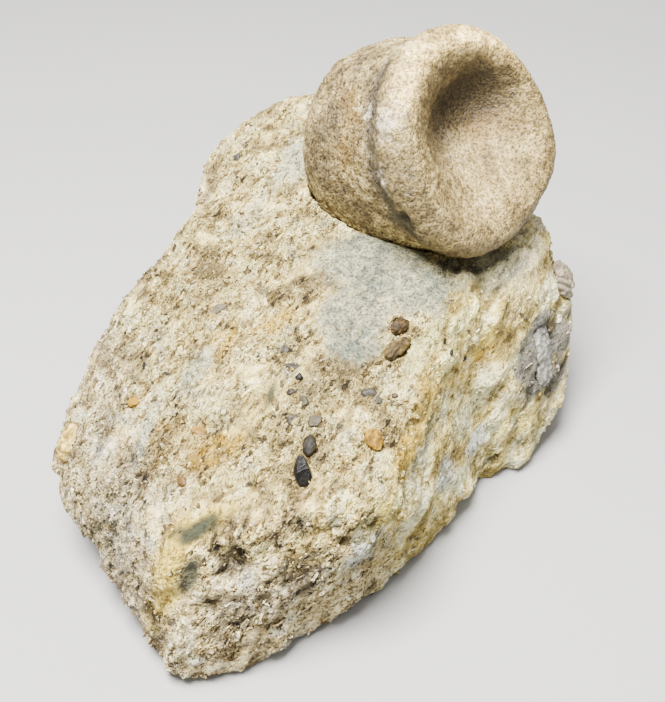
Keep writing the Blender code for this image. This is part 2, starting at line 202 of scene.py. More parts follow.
def set_points(mesh, points):
    """Moves the mesh's vertices there, but never past the box of the solids."""
    low, high = np.array(cad_box[0]), np.array(cad_box[1])
    mesh.vertices.foreach_set("co", np.clip(points * MM, low, high).ravel())
    mesh.update()


def set_weights(mesh, name, *weights):
    """Stores up to four weights for each vertex as a colour that the material reads."""
    layer = mesh.color_attributes.new(name, "FLOAT_COLOR", "POINT")
    values = np.ones((len(mesh.vertices), 4))
    for column, weight in enumerate(weights):
        values[:, column] = weight
    layer.data.foreach_set("color", values.ravel())


def weights_of(mesh, name):
    """Those weights again: four for each vertex."""
    flat = np.empty(len(mesh.vertices) * 4)
    mesh.color_attributes[name].data.foreach_get("color", flat)
    return flat.reshape(-1, 4)


def noise_at(points, size, seed=0.0):
    """Soft noise from -1 to 1 at each point, its lumps about that size."""
    return np.array([noise.noise(point) for point in (points / size + seed).tolist()])


def cells_at(points, size, seed=0.0):
    """Broken into cells of about that size: each cell's random height, and how far a point is from its edge."""
    heights, margins = [], []
    for point in (points / size + seed).tolist():
        away, middles = noise.voronoi(point)
        heights.append(noise.noise(middles[0] * 7.3) * 2)
        margins.append(away[1] - away[0])
    return np.clip(heights, -1, 1), np.array(margins)


def eased(values, low, high):
    """0 below low, 1 above high, and smooth in between."""
    share = np.clip((values - low) / (high - low), 0, 1)
    return share * share * (3 - 2 * share)


def inside(points, middle, half_sizes, ragged, core=0.5, drawn=0.0):
    """1 in the core of an egg-shaped place, 0 outside it. ragged moves its edge, drawn pulls it along the beds."""
    offset = points - middle
    offset += drawn * (np.outer(offset @ np.array(BED_NORMAL), BED_NORMAL) - 0.4 * offset)
    away = np.linalg.norm(offset / half_sizes, axis=1) + ragged
    return 1 - eased(away, core, 1.1)


def along_beds(points, length, thickness, seed=0.0):
    """Noise drawn out along the beds, so that it makes ridges of that length and thickness."""
    across = points @ np.array(BED_NORMAL)
    within = points - np.outer(across, BED_NORMAL)
    wander = noise_at(points, 24.0, seed) * 2.2
    stretched = within / length + np.outer(across + wander, BED_NORMAL) / thickness
    return noise_at(stretched, 1.0, seed)


def ragged_at(points):
    return 0.7 * noise_at(points, 9.0, 4.0) + 0.5 * noise_at(points, 3.0, 5.0)


def ground_at(points):
    """How clayey and how chalky the rock is at each point."""
    ragged = ragged_at(points)
    clay = eased(points[:, 0] - CLAY_SLANT * points[:, 1] - CLAY_EDGE + 6 * ragged, -2.5, 4.0)
    chalk = np.zeros(len(points))
    for middle, half_sizes in CHALK_LOBES:
        chalk = np.maximum(chalk, inside(points, middle, half_sizes, 0.3 * ragged, 0.7))
    return clay * (1 - chalk), chalk


def linear(hex_colour):
    """An sRGB hex colour as linear red, green, blue and alpha."""
    channels = [int(hex_colour[place:place + 2], 16) / 255 for place in (1, 3, 5)]
    return tuple(c / 12.92 if c <= 0.04045 else ((c + 0.055) / 1.055) ** 2.4 for c in channels) + (1.0,)


def toned(values, stops):
    """Each value's colour on a scale of (value, hex colour) stops."""
    levels = [level for level, colour in stops]
    colours = np.array([linear(colour)[:3] for level, colour in stops])
    return np.stack([np.interp(values, levels, colours[:, channel]) for channel in range(3)], axis=1)


def tint(tone, colour, share):
    """Moves each point's tone towards the colour by that share."""
    colour = np.array(linear(colour)[:3]) if isinstance(colour, str) else colour
    tone += (colour - tone) * share[:, None]


def holes_at(points):
    """How deep the holes are at each point, and how much of each point is inside one."""
    depth, share = np.zeros(len(points)), np.zeros(len(points))
    wander = 0.4 * noise_at(points, 4.0, 11.0)
    for *middle, radius, deepest in HOLES:
        away = np.linalg.norm(points - middle, axis=1) / radius + wander
        inner = 1 - eased(away, 0.35, 1.0)
        depth += deepest * inner
        share = np.maximum(share, inner * (deepest > 0))
    return depth, share


def rock_look(points):
    """The rock's colour at each point with its smooth muds only, then with every stain, and how smooth it is."""
    clay, chalk = ground_at(points)
    weathered = eased(points[:, 2] - TOP_SLOPE * points[:, 1], *WEATHERED)
    ragged = ragged_at(points)
    patchy = 0.7 * noise_at(points, 15.0, 1.0) + 0.7 * noise_at(points, 5.5, 2.0) + 0.45 * noise_at(points, 2.4)
    tone = toned(patchy, ROCK_TONES)
    smooth = np.maximum(0.45 * clay, 0.4 * eased(noise_at(points, 9.0, 14.0) + 0.4 * ragged, 0.2, 0.5))
    streaky = 0.4 * along_beds(points, 10.0, 3.5, 4.0) + 0.35 * ragged
    banded = 0.7 * along_beds(points, 26.0, 5.0, 2.0) + 0.5 * noise_at(points, 7.0, 6.0)
    banded += 0.35 * noise_at(points, 2.2, 3.0)
    tint(tone, toned(banded, CLAY_TONES), clay)
    plain = tone.copy()
    for mud, *place in STAINS:
        colour, strength, softness = MUDS[mud]
        share = strength * inside(points, place[:3], place[3:], streaky, 0.5, 0.7)
        tint(tone, colour, share)
        tint(plain, colour, share if softness >= MUDDY else 0.25 * share)
        smooth += (np.maximum(softness, 0.5 * clay) - smooth) * share
    clouds = 0.48 + 0.5 * noise_at(points, 9.0, 7.0) + 0.7 * noise_at(points, 2.2, 8.0)
    pale = toned(np.clip(clouds, 0, 1), ((0, CHALK_BLUE), (1, CHALK_CREAM)))
    # Painted shade and grime inside the holes
    grime_and_shade = 0.45 * holes_at(points)[1]
    for layer in (plain, tone):
        tint(layer, pale, chalk)
        layer *= 1 + (WEATHERING - 1) * weathered[:, None]
        tint(layer, MUDS["grime_and_shade"][0], grime_and_shade)
    return plain, tone, np.maximum(smooth, 0.85 * chalk)


def roughen_rock(mesh):
    """Crumbly lumps and broken grains, flaky ledges on the sides, ridges along the clay and a smooth chalky patch."""
    points, normals = points_of(mesh), normals_of(mesh)
    clay, chalk = ground_at(points)
    plain, tone, smooth = rock_look(points)
    crumbly = 1 - smooth
    side = 1 - np.clip(normals[:, 2], 0, 1)
    coarse = np.maximum(eased(side, 0.25, 0.7), eased(-points[:, 1], *COARSE_FRONT))
    coarse *= eased(points[:, 0], *COARSE_FROM_LEFT)
    heights, margins = cells_at(points, BIT_SIZE, 3.0)
    ridged = 0.5 - np.abs(noise_at(points, CREST_SIZE, 1.0)) * 2.2
    crumbs = 0.40 * heights + 0.38 * ridged + 0.35 * noise_at(points, CRUMB_SIZE, 9.0)
    crumbs -= BIT_CRACK * (1 - eased(margins, 0.0, 0.16))
    flaky = 0.45 - 1.8 * np.abs(along_beds(points, *FLAKE, 3.0))
    ledges = 1.6 * along_beds(points, *LEDGE, 5.0) + 0.9 * flaky - 0.15 * crumbs
    layers = 1.3 * along_beds(points, BED_LENGTH, BED_THICKNESS) + 0.5 * flaky
    layers += 0.6 * noise_at(points, 7.0, 12.0) + 0.35 * heights + 0.35 * noise_at(points, 2.8, 13.0)
    swells = 0.9 * noise_at(points, SWELL_SIZE, 15.0) * (1 - chalk)
    height = crumbly * (crumbs + side * ledges * (1 - clay)) + 0.95 * clay * layers + swells
    height += 0.2 * noise_at(points, 8.0, 2.0) - holes_at(points)[0]
    on_underside = (normals[:, 2] < -0.9) * (points[:, 2] < 0.8)
    height *= 1 - on_underside
    hollow = eased(-height, 0.10, 1.3)
    set_points(mesh, points + normals * height[:, None])
    set_weights(mesh, "plain", *plain.T)
    set_weights(mesh, "tone", *tone.T)
    set_weights(mesh, "ground", smooth, chalk, hollow, coarse)


def add(tree, kind, inputs=None, **settings):
    """One shader node with its settings, and its inputs as values, hex colours or the sockets that feed it."""
    made = tree.nodes.new("ShaderNode" + kind)
    for name, value in settings.items():
        if name == "stops":
            while len(made.color_ramp.elements) < len(value):
                made.color_ramp.elements.new(0.5)
            for element, (position, colour) in zip(made.color_ramp.elements, value):
                element.position = position
                element.color = linear(colour)
        else:
            setattr(made, name, value)
    for name, value in (inputs or {}).items():
        if isinstance(value, bpy.types.NodeSocket):
            tree.links.new(value, made.inputs[name])
        elif isinstance(value, str):
            made.inputs[name].default_value = linear(value)
        else:
            made.inputs[name].default_value = value
    return made


def stored(tree, name):
    """The weights stored under that name, as a colour."""
    return add(tree, "Attribute", attribute_name=name).outputs["Color"]


def cloudy(tree, place, size, detail, roughness):
    """A noise texture from 0 to 1, its lumps about that size."""
    made = add(tree, "TexNoise", {"Vector": place, "Scale": 1000 / size, "Detail": detail, "Roughness": roughness})
    return made.outputs["Fac"]


def finish_of(name, roughness, specular=0.35):
    """A new material and its node tree, with the numbers that are the same all over set on the shader."""
    made = bpy.data.materials.new(name)
    made.use_nodes = True
    shader = made.node_tree.nodes["Principled BSDF"]
    shader.inputs["Roughness"].default_value = roughness
    shader.inputs["Specular IOR Level"].default_value = specular
    return made, made.node_tree, shader


FACTOR, MIX_A, MIX_B, MIXED = 0, 6, 7, 2  # a colour mix's sockets
LOW, HIGH = 2, 3  # what a mix of numbers goes between
# Its broken bits lie flat in the beds: the material's place turned to them, and drawn out along them
BED_LIE = {"Rotation": tuple(BED_NORMAL.to_track_quat("Z", "Y").to_euler()), "Scale": (2.2, 1.5, 1.0)}


def bent(tree, place, size):
    """The place, pushed about so that nothing laid out by it runs straight."""
    drift = add(tree, "TexNoise", {"Vector": place, "Scale": 1000 / (1.2 * size), "Detail": 2.0})
    shift = add(tree, "VectorMath", {0: drift.outputs["Color"], 1: (1.1 * size * MM,) * 3}, operation="MULTIPLY")
    return add(tree, "VectorMath", {0: place, 1: shift.outputs[0]}, operation="ADD").outputs[0]


def curls(tree, place, size, width):
    """1 along curly lines about that far apart, falling to 0 over the width."""
    swirl = cloudy(tree, bent(tree, place, size), size, 1.5, 0.55)
    away = add(tree, "Math", {0: swirl, 1: 0.5}, operation="SUBTRACT").outputs[0]
    away = add(tree, "Math", {0: away}, operation="ABSOLUTE").outputs[0]
    return add(
        tree, "MapRange", {"Value": away, "From Min": 0.0, "From Max": width, "To Min": 1.0, "To Max": 0.0},
        interpolation_type="SMOOTHSTEP").outputs[0]


def times(tree, colour, shade, share=1.0):
    """The colour multiplied by the shade, for that share."""
    return add(
        tree, "Mix", {FACTOR: share, MIX_A: colour, MIX_B: shade}, data_type="RGBA",
        blend_type="MULTIPLY").outputs[MIXED]


def crinkled(tree, place, size):
    """Broken-shell relief, each bit's own shade and how stained it is: curly edges stand up, with cracks between."""
    lie = add(tree, "Mapping", {"Vector": place, **BED_LIE}, vector_type="TEXTURE").outputs[0]
    edges, cracks = curls(tree, lie, size, 0.10), curls(tree, lie, 0.5 * size, 0.05)
    grit = cloudy(tree, place, 0.5 * size, 4.0, 0.7)
    bits = add(tree, "TexVoronoi", {"Vector": bent(tree, lie, 0.7 * size), "Scale": 1000 / (0.9 * size)})
    own, stained, _ = add(tree, "SeparateColor", {"Color": bits.outputs["Color"]}).outputs
    height = add(tree, "Math", {0: edges, 1: 0.5, 2: grit}, operation="MULTIPLY_ADD").outputs[0]
    height = add(tree, "Math", {0: cracks, 1: -0.32, 2: height}, operation="MULTIPLY_ADD").outputs[0]
    height = add(tree, "Math", {0: own, 1: -0.12, 2: height}, operation="MULTIPLY_ADD").outputs[0]
    height = add(tree, "MapRange", {"Value": height, "From Min": 0.18, "From Max": 0.98}).outputs[0]
    shade = add(
        tree, "ValToRGB", {"Fac": own},
        stops=((0.55, "#ffffff"), (0.72, "#ece3cc"), (0.84, "#cfc4ac"), (0.93, "#aaa192"), (0.99, "#7d7466")))
    stained = add(tree, "MapRange", {"Value": stained, "From Min": 0.4, "From Max": 0.6}).outputs[0]
    return height, shade.outputs[0], stained


def shaded(tree, tone, height, depth, gap, dull, share=1.0):
    """The tone with painted shade and dirt in the relief's gaps and on its dull low ground, and a bump of that depth.
    """
    shade = add(
        tree, "ValToRGB", {"Fac": height},
        stops=((0.02, gap), (0.20, dull), (0.35, "#eeeae0"), (0.48, "#ffffff")))
    relief = add(tree, "Bump", {"Height": height, "Strength": share, "Distance": depth * MM}).outputs[0]
    return times(tree, tone, shade.outputs[0], share), relief


def shelly_rock():
    """Cemented shell sand: crinkled edges of broken shell in the rock's own tones, with painted shade and dirt in the
    relief's gaps and the hollows.
    """
    made, tree, shader = finish_of("shelly phosphate rock", 0.86, 0.25)
    place = add(tree, "TexCoord").outputs["Object"]
    tone = stored(tree, "tone")
    ground = add(tree, "Attribute", attribute_name="ground")
    smooth, chalk, hollow = add(tree, "SeparateColor", {"Color": ground.outputs["Color"]}).outputs
    share = add(tree, "Math", {0: smooth, 1: -0.75, 2: 1.0}, operation="MULTIPLY_ADD").outputs[0]
    fine_height, fine_shade, stained = crinkled(tree, place, FINE_SHELL)
    coarse_height, coarse_shade, _ = crinkled(tree, place, COARSE_SHELL)
    plain = stored(tree, "plain")
    tone = add(tree, "Mix", {FACTOR: stained, MIX_A: plain, MIX_B: tone}, data_type="RGBA").outputs[MIXED]
    coarse = ground.outputs["Alpha"]
    height = add(tree, "Mix", {FACTOR: coarse, LOW: fine_height, HIGH: coarse_height}).outputs[0]
    bits = add(tree, "Mix", {FACTOR: coarse, MIX_A: fine_shade, MIX_B: coarse_shade}, data_type="RGBA")
    tone = times(tree, tone, bits.outputs[MIXED], share)
    colour, relief = shaded(tree, tone, height, SHELL_RELIEF, GAP_SHADE_AND_DIRT, LOW_SHADE_AND_DIRT, share)
    speckle = add(
        tree, "ValToRGB", {"Fac": cloudy(tree, place, CHALK_GRAIN, 2.0, 0.6)},
        stops=((0.34, "#7f8385"), (0.46, "#cccdcc"), (0.58, "#ffffff")))
    colour = times(tree, colour, speckle.outputs[0], chalk)
    # Painted shade and dirt, darkest in the deepest hollows of the rough skin
    shade_and_dirt = add(tree, "Math", {0: hollow, 1: 0.7}, operation="MULTIPLY").outputs[0]
    tree.links.new(times(tree, colour, HOLLOW_SHADE_AND_DIRT, shade_and_dirt), shader.inputs["Base Color"])
    tree.links.new(relief, shader.inputs["Normal"])
    return made


def ride_and_finish(piece, material, slot, *replaced):
    """The piece gets its material, rides on the one body and takes the place of the CAD nodes named."""
    piece.data.materials.clear()
    piece.data.materials.append(material)
    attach(piece, "root")
    if replaced:
        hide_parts(*replaced)


rock = merged_copy("matrix_block", "shelly_rock")
even_skin(rock, ROCK_GRID, ROCK_RUBBING)
roughen_rock(rock.data)
ride_and_finish(rock, shelly_rock(), "matrix", "matrix_block")


# ---------------------------------------------------------------- pebbles in the rock
# Worn bits of phosphate, bone and dark shell that are part of the rock and lie flush in its skin, 2 to 6 mm long.
# Each is set where the rock's surface comes nearest, its long way turned about the surface's own normal.

PEBBLE_SEED = 7  # vector noise differs from run to run without one
PEBBLE_TOP, PEBBLE_SINK = 0.26, 0.14  # as shares of a pebble's height: where its worn top is, and how far it sinks
# middle, length, width and height, turn in degrees, colour
PEBBLES = (
    ((-10, -37, 67), (2.6, 2.2, 2.0), 0, "#0f0d0b"), ((-12, -42, 65), (2.8, 2.4, 2.0), 20, "#2b2419"),
    ((-9, -45, 65), (5.4, 3.2, 1.8), 5, "#443f2f"), ((-11, -51, 63), (3.4, 3.8, 1.8), 0, "#433d33"),
    ((-5, -51, 63), (5.0, 3.8, 1.3), 50, "#463e2e"), ((-11, -33, 68), (6.0, 2.2, 1.6), -15, "#2f2b20"),
    ((-22, -28, 67), (2.4, 1.8, 1.8), 30, "#2b261c"), ((-14, -27, 69), (3.2, 2.6, 1.6), 60, "#3d382c"),
    ((-36, -8, 69), (6.6, 3.2, 2.0), 52, "#5a5140"), ((-22, -3, 74), (4.2, 2.4, 1.6), 25, "#5f573c"),
    ((11, -42, 65), (5.0, 3.2, 1.8), -12, "#322e26"), ((14, -44, 65), (4.6, 2.2, 1.6), 35, "#3c392f"),
    ((18, -43, 65), (2.2, 1.8, 1.6), 0, "#3a2c14"), ((-60, -34, 54), (4.0, 4.2, 2.4), 0, "#94700f"),
    ((34, -21, 67), (2.8, 1.3, 1.5), 0, "#12100e"), ((36, -24, 65), (2.0, 1.6, 1.5), 20, "#12100e"),
    ((-39, -49, 57), (4.6, 3.4, 2.2), 10, "#856318"), ((-43, -63, 50), (4.2, 3.0, 2.0), 10, "#5f4515"),
    ((-50, -27, 60), (2.4, 2.0, 1.6), 0, "#332c25"), ((79, 24, 40), (3.4, 3.0, 2.4), 0, "#ffffff"),
    ((-52, 20, 62), (3.0, 2.4, 1.8), 30, "#393427"), ((-30, 62, 78), (5.0, 3.4, 2.0), 70, "#35312c"),
    ((10, 84, 52), (6.0, 4.0, 2.4), 20, "#4b3f2d"), ((-70, 12, 40), (4.6, 3.2, 2.0), 15, "#3b3631"),
    ((52, 66, 46), (5.4, 3.6, 2.2), 40, "#6b4e18"), ((-40, 74, 30), (4.0, 3.0, 2.0), 0, "#292522"),
)


def tree_of(piece):
    """The piece's faces, for finding the nearest."""
    corners = [vertex.co.copy() for vertex in piece.data.vertices]
    return BVHTree.FromPolygons(corners, [polygon.vertices[:] for polygon in piece.data.polygons])


def pebble_material():
    """Worn phosphate and bone: each pebble's own tone, finely mottled, with a dull polish."""
    made, tree, shader = finish_of("worn phosphate pebbles", 0.55, 0.35)
    place = add(tree, "TexCoord").outputs["Object"]
    tone = stored(tree, "tone")
    cloud = cloudy(tree, place, 1.1, 5.0, 0.7)
    shade = add(tree, "ValToRGB", {"Fac": cloud}, stops=((0.3, "#8f887c"), (0.5, "#e4e0d8"), (0.68, "#ffffff")))
    tree.links.new(times(tree, tone, shade.outputs[0]), shader.inputs["Base Color"])
    relief = add(tree, "Bump", {"Height": cloud, "Strength": 0.6, "Distance": 0.3 * MM})
    tree.links.new(relief.outputs[0], shader.inputs["Normal"])
    return made


def flush_pebbles():
    """One joined mesh of the pebbles, each an uneven lump two thirds sunk in the rock."""
    skin = tree_of(rock)
    noise.seed_set(PEBBLE_SEED)
    bm = bmesh.new()
    tones = []
    for middle, sizes, turn, colour in PEBBLES:
        spot, normal, *_ = skin.find_nearest(Vector(middle) * MM)
        made = bmesh.ops.create_icosphere(bm, subdivisions=3, radius=0.5)["verts"]
        for vertex in made:
            vertex.co *= 1 + 0.30 * noise.noise(vertex.co * 2.6 + Vector(middle))
            vertex.co += 0.05 * noise.noise_vector(vertex.co * 7.0 + Vector(middle))
            worn_top = PEBBLE_TOP + 0.5 * noise.noise(vertex.co * 1.5 + Vector(middle))
            vertex.co.z = min(vertex.co.z, worn_top) - PEBBLE_SINK
        place = Matrix.Translation(spot) @ normal.to_track_quat("Z", "Y").to_matrix().to_4x4()
        place = place @ Matrix.Rotation(math.radians(turn), 4, "Z") @ Matrix.Diagonal((*(Vector(sizes) * MM), 1))
        bmesh.ops.transform(bm, matrix=place, verts=made)
        tones += [linear(colour)[:3]] * len(made)
    mesh = bpy.data.meshes.new("sand_pebbles")
    bm.to_mesh(mesh)
    bm.free()
    set_points(mesh, points_of(mesh))
    set_weights(mesh, "tone", *np.array(tones).T)
    mesh.shade_smooth()
    return in_scene("sand_pebbles", mesh)


pebbles = flush_pebbles()
ride_and_finish(pebbles, pebble_material(), "matrix")


# ---------------------------------------------------------------- shell chips and grains
# The sand in the rock: chips and slivers of broken shell that lie with the beds, so that they show edge on at the
# front and on top, and rounded grains of phosphate and lime, 1 to 3 mm across. All stand a little out of the skin.

# How far the chips tip and turn out of the beds, how crooked they are, and how much bigger than most one can be
TIPPED, TURNED, CROOKED, LONGEST = 0.28, 0.45, 0.07, 2.2
LOWEST = 1.2  # no chip sits nearer than this to what the block rests on
# How the pieces differ from the rock around them: colour, how much of it shows, and their share
CHIP_TINTS = (
    ("#d8c898", 0.35, 34), ("#c4ae74", 0.3, 26), ("#95804f", 0.45, 16), ("#e4dcc0", 0.8, 6), ("#857b66", 0.6, 8),
    ("#6b5a38", 0.6, 8), ("#93701f", 0.7, 2), ("#46392a", 0.8, 3), ("#332d28", 0.9, 1.5),
)
GRAIN_TINTS = (
    ("#c3b078", 0.3, 34), ("#9c844e", 0.45, 22), ("#d9cda8", 0.6, 12), ("#766544", 0.6, 12), ("#85641a", 0.8, 3),
    ("#5f594d", 0.8, 8), ("#3d362d", 0.9, 5), ("#1d1a18", 1.0, 2), ("#4d3312", 0.9, 2),
)


def chip_shape():
    """A curled six-sided chip, 1 across and 0.24 thick."""
    bm = bmesh.new()
    bmesh.ops.create_cone(bm, cap_ends=True, segments=6, radius1=0.5, radius2=0.42, depth=0.24)
    bmesh.ops.triangulate(bm, faces=bm.faces)
    for vertex in bm.verts:
        vertex.co.z += 0.9 * vertex.co.x ** 2
    return bm


def sliver_shape():
    """A broken edge of shell, 1 long and bent."""
    bm = bmesh.new()
    bmesh.ops.create_cube(bm, size=1.0)
    lengthwise = [edge for edge in bm.edges if abs(edge.verts[0].co.x - edge.verts[1].co.x) > 0.5]
    bmesh.ops.subdivide_edges(bm, edges=lengthwise, cuts=1)
    bmesh.ops.triangulate(bm, faces=bm.faces)
    for vertex in bm.verts:
        vertex.co.y *= 1.2 - abs(vertex.co.x)
        vertex.co.y += 0.9 * vertex.co.x ** 2
    return bm


def grain_shape():
    bm = bmesh.new()
    bmesh.ops.create_icosphere(bm, subdivisions=1, radius=0.5)
    return bm


def skin_spots(mesh, count, dice, clear_of, on_sides):
    """Random places on the rock's crumbly skin, its normals and tones there, clear of the bone and the set pieces."""
    mesh.calc_loop_triangles()
    corners = np.empty(len(mesh.loop_triangles) * 3, int)
    mesh.loop_triangles.foreach_get("vertices", corners)
    points = points_of(mesh)
    a, b, c = (points[corners[start::3]] for start in range(3))
    facing = np.cross(b - a, c - a)
    area = np.linalg.norm(facing, axis=1)
    middle = (a + b + c) / 3
    smoothness = weights_of(mesh, "ground")[:, 0][corners].reshape(-1, 3).mean(axis=1)
    bare = np.clip(1.3 * smoothness, 0, 0.97)
    upward = np.clip(facing[:, 2] / area, 0, 1)
    chance = area * (1 - bare) * (middle[:, 2] > LOWEST) * (1 - on_sides * eased(upward, 0.45, 0.85))
    picked = dice.choice(len(area), size=count, p=chance / chance.sum())
    u, v = dice.random(count), dice.random(count)
    over = u + v > 1
    u[over], v[over] = 1 - u[over], 1 - v[over]
    spots = a[picked] + u[:, None] * (b - a)[picked] + v[:, None] * (c - a)[picked]
    out = facing[picked] / area[picked][:, None]
    free = np.array([
        all((tree.find_nearest(spot)[3] or 0) > gap * MM for tree, gap in clear_of)
        for spot in (spots * MM).tolist()])
    tones = weights_of(mesh, "tone")[corners[::3][picked], :3]
    return spots[free], out[free], tones[free]


def scatter(name, shape, count, sizes, tints, seed, bedded, sunk, on_sides, smooth):
    """One joined mesh of many small pieces on the rock's skin: bedded says how well they lie along the beds."""
    dice = np.random.default_rng(seed)
    spots, out, tone = skin_spots(rock.data, count, dice, OTHER_PIECES, on_sides)
    count = len(spots)
    bed = np.array(BED_NORMAL) * np.where(out @ np.array(BED_NORMAL) < 0, -1, 1)[:, None]
    normal = out * (1 - bedded) + bed * bedded + dice.normal(0, TIPPED, (count, 3))
    normal /= np.linalg.norm(normal, axis=1)[:, None]
    flow = np.cross(out, bed) * (1 if bedded else 0) + dice.normal(0, TURNED, (count, 3))
    side = np.cross(normal, flow)
    side /= np.linalg.norm(side, axis=1)[:, None]
    along = np.cross(side, normal)
    bm = shape()
    corners = np.array([vertex.co for vertex in bm.verts])
    faces = np.array([[vertex.index for vertex in face.verts] for face in bm.faces])
    bm.free()
    spread = np.minimum(np.exp(dice.normal(0, 0.35, (count, 1))), LONGEST)
    scale = spread * np.array(sizes) * dice.uniform(0.75, 1.25, (count, 3))
    local = (corners + dice.normal(0, CROOKED, (count, len(corners), 3))) * scale[:, None, :]
    local[:, :, 2] += (scale[:, 2] * 0.24 * (0.5 - sunk))[:, None]
    placed = spots[:, None, :] + np.einsum("nvi,nij->nvj", local, np.stack([along, side, normal], axis=1))
    index = (faces[None] + np.arange(count)[:, None, None] * len(corners)).reshape(-1, 3)
    mesh = bpy.data.meshes.new(name)
    mesh.from_pydata(np.zeros((count * len(corners), 3)), [], index)
    set_points(mesh, placed.reshape(-1, 3))
    shares = np.array([share for *_, share in tints])
    chosen = dice.choice(len(tints), size=count, p=shares / shares.sum())
    own = np.array([linear(colour)[:3] for colour, *_ in tints])[chosen]
    tint(tone, own, np.array([strength for _, strength, _ in tints])[chosen])
    tone *= dice.uniform(0.85, 1.12, (count, 1))
    set_weights(mesh, "tone", *np.clip(np.repeat(tone, len(corners), axis=0), 0, 1).T)
    if smooth:
        mesh.shade_smooth()
    return in_scene(name, mesh)


def chip_material(name, roughness, specular):
    """Shell and phosphate grains: each chip's own tone, crinkled a little, with painted shade and dust in the
    crinkles.
    """
    made, tree, shader = finish_of(name, roughness, specular)
    place = add(tree, "TexCoord").outputs["Object"]
    tone = stored(tree, "tone")
    # Painted shade and dust in the chips' crinkles
    colour, relief = shaded(tree, tone, crinkled(tree, place, 1.2)[0], 0.3, "#5d5140", "#a39678")
    tree.links.new(colour, shader.inputs["Base Color"])
    tree.links.new(relief, shader.inputs["Normal"])
    return made


# What the chips stay clear of, and by how much
OTHER_PIECES = [
    (tree_of(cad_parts[node]), 1.0 if node == "vertebra" else 0.1)
    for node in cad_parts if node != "matrix_block"] + [(tree_of(pebbles), 0.1)]

shell_finish = chip_material("broken shell", 0.68, 0.35)
sand_finish = chip_material("phosphate and lime sand", 0.75, 0.3)
# name, shape, how many, sizes, tints, seed, how bedded, share sunk in the rock, how much on the sides only, rounded
SCATTERED = (
    ("shell_chips_1", chip_shape, 2000, (1.9, 1.4, 1.4), CHIP_TINTS, 11, 0.6, 1.6, 0.9, False),
    ("shell_chips_2", chip_shape, 3000, (1.2, 1.0, 1.3), CHIP_TINTS, 12, 0.4, 1.4, 0.0, False),
    ("shell_slivers_1", sliver_shape, 1600, (1.8, 0.45, 0.5), CHIP_TINTS, 13, 0.2, 1.6, 0.85, False),
    ("shell_slivers_2", sliver_shape, 2500, (1.2, 0.34, 0.45), CHIP_TINTS, 15, 0.15, 1.2, 0.0, False),
    ("lime_grains", grain_shape, 4500, (1.0, 0.85, 0.7), GRAIN_TINTS, 14, 0.0, 1.1, 0.0, True),
)
for row in SCATTERED:
    sand = scatter(*row)
    ride_and_finish(sand, shell_finish if "shell" in sand.name else sand_finish, "matrix")


# ---------------------------------------------------------------- vertebra
# One fossil bone, mineralised right through: a spool with a deep cup in its near end, a broad worn rim, a waist
# and a domed far end. Its skin is fine sugary phosphate, paler on the rim and the cup's floor, stained on the body.
# Painted shade darkens the cup's upper bowl and the undersides, and a painted highlight lights the rim's upper crest.

BONE_GRID = 0.56
BONE_RUBBING = 26
RIM_RADIUS = 36.5
CUP_CENTRE = np.array((46.6, 23.4, 111.4))
CUP_TURN, CUP_TILT = math.radians(45), math.radians(28)
BODY_TONES = ((-0.6, "#57492f"), (-0.2, "#87774f"), (0.1, "#ad9e72"), (0.5, "#cdc096"))
RIM_TONES = ((-0.6, "#63532f"), (-0.2, "#88764a"), (0.1, "#a4905f"), (0.5, "#bdaa78"))
# The bowl's dark tone is painted shade and dirt; it also paints shade in the pinch, along the left wall, under the
# lip and in the crack
BOWL_SHADE_AND_DIRT, BOWL_RUST, GROOVE_GREY, LIME_WHITE, RUST = "#42371d", "#84652a", "#5d5549", "#e6e1d0", "#80631e"
# The groove behind the rim: where its middle is, how wide it is and how deep
GROOVE_BEHIND, GROOVE_WIDTH, GROOVE_DEPTH = 0.385 * RIM_RADIUS, 4.2, 0.8
BOWL_DEPTH, CRACK_DEPTH, KNOB_HEIGHT = 4.2, 1.8, 0.9
# What the material draws: the sugary grain, which is twice the real one because that is too fine to show, then lumps
# of it, pores, and how deep the bump is
SUGAR_SIZE, SUGAR_LUMP, PORE_SIZE, BONE_RELIEF = 0.82, 1.4, 1.3, 1.1
# Rusty, dark and whitish places on the body and the rim: across, up, behind, reach, colour and strength
BONE_MARKS = (
    (-24.6, 24.6, 26.0, 6.0, RUST, 0.42), (-28.0, 19.0, 23.0, 6.0, RUST, 0.42), (-32.5, 9.7, 26.0, 7.5, RUST, 0.42),
    (-28.8, 19.9, 33.6, 7.0, "#4c4230", 0.55), (-33.0, 8.0, 37.0, 8.0, "#4c4230", 0.5),
    (-33.0, -8.0, 32.0, 9.0, "#564a33", 0.45), (-27.0, -21.0, 30.0, 9.0, "#4c4230", 0.5),
    (-28.0, 21.0, 15.5, 3.0, LIME_WHITE, 0.8), (-35.6, 2.5, 11.0, 3.2, LIME_WHITE, 0.8),
    (-35.8, -2.5, 11.0, 2.6, LIME_WHITE, 0.7), (-31.0, 17.0, 5.5, 5.5, LIME_WHITE, 0.35),
)


def bone_axes():
    """The cup's right, its up and its way out, as rows."""
    out = np.array((
        math.sin(CUP_TURN) * math.cos(CUP_TILT), -math.cos(CUP_TURN) * math.cos(CUP_TILT), math.sin(CUP_TILT)))
    side = np.cross((0, 0, 1), out)
    side /= np.linalg.norm(side)
    return np.array((side, np.cross(out, side), out))


def on_bone(points):
    """Each point's place across, up and behind the cup's crest, its distance from the axis and its angle."""
    local = (points - CUP_CENTRE) @ bone_axes().T
    across, up = local[:, 0], local[:, 1]
    return across, up, -local[:, 2], np.hypot(across, up), np.degrees(np.arctan2(up, across)) % 360


def near(values, middle, width):
    """1 at the middle, falling off smoothly over that width."""
    return np.exp(-((values - middle) / width) ** 2)


